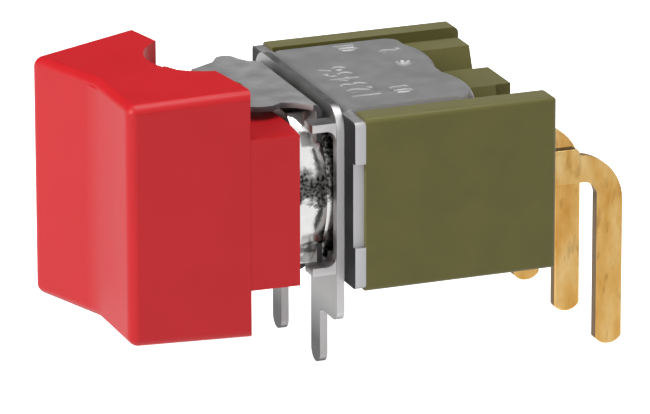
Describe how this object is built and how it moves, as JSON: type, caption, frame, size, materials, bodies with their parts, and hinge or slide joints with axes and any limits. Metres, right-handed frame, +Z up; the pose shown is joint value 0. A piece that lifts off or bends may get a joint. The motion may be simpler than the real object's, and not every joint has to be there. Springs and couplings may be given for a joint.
{
  "type": "mini rocker switch",
  "caption": "Right-angle board-mount mini rocker switch: moulded case under a folded steel frame, round bushing, yoke-pivoted rocker and bent terminals.",
  "frame": {"origin": "axis of the common terminal's pin at the top of the circuit board", "axes": "+X from the rocker towards the pins, +Y along the row of three pins, +Z up from the board"},
  "size_m": [0.0247, 0.0126, 0.0139],
  "materials": {
    "red_moulding": "satin red moulding",
    "brass": "machined",
    "plunger_steel": "satin",
    "spring_wire": "drawn wire",
    "bright_nickel": "polished nickel plate",
    "satin_nickel": "satin nickel plate",
    "satin_steel": "satin",
    "plated_steel": "bright tin plate",
    "insulating_board": "matte",
    "olive_moulding": "matte thermoset moulding",
    "gold_plate": "gold plate",
    "epoxy_seal": "matte",
    "contact_silver": "satin silver",
    "copper_strip": "rolled"
  },
  "bodies": {
    "housing": {"case": "olive_moulding", "frame": "satin_steel", "support_bracket": "plated_steel", "bushing": "bright_nickel", "collar": "satin_nickel", "yoke": "satin_steel", "pivot_pin": "brass", "insulator": "insulating_board", "terminal_near": "gold_plate", "terminal_common": "gold_plate", "terminal_far": "gold_plate", "seal_near": "epoxy_seal", "seal_common": "epoxy_seal", "seal_far": "epoxy_seal", "fixed_contact_near": "contact_silver", "fixed_contact_far": "contact_silver"},
    "rocker": {"rocker_cap": "red_moulding", "lever": "brass", "plunger_spring": "spring_wire"},
    "plunger": {"plunger": "plunger_steel"},
    "contactor": {"contactor": "copper_strip", "moving_contact_near": "contact_silver", "moving_contact_far": "contact_silver"}
  },
  "joints": [
    {"name": "rocker_tilt", "type": "hinge", "parent": "housing", "child": "rocker", "pos_m": [-0.01596, 0, 0.00565], "axis": [0, 0, 1], "range_deg": [-18.8, 0]},
    {"name": "contactor_tilt", "type": "hinge", "parent": "housing", "child": "contactor", "pos_m": [-0.00728, 0, 0.00565], "axis": [0, 0, 1], "range_deg": [0, 11]},
    {"name": "plunger_slide", "type": "slide", "parent": "rocker", "child": "plunger", "axis": [0.9866, 0.1633, 0], "range_m": [-0.00035, 0], "stiffness_N_per_m": 500, "springref_m": 0.0003, "deforming": ["plunger_spring"]}
  ],
  "couplings": [
    {"joint": "contactor_tilt", "follows": "rocker_tilt", "ratio": -0.5851}
  ]
}
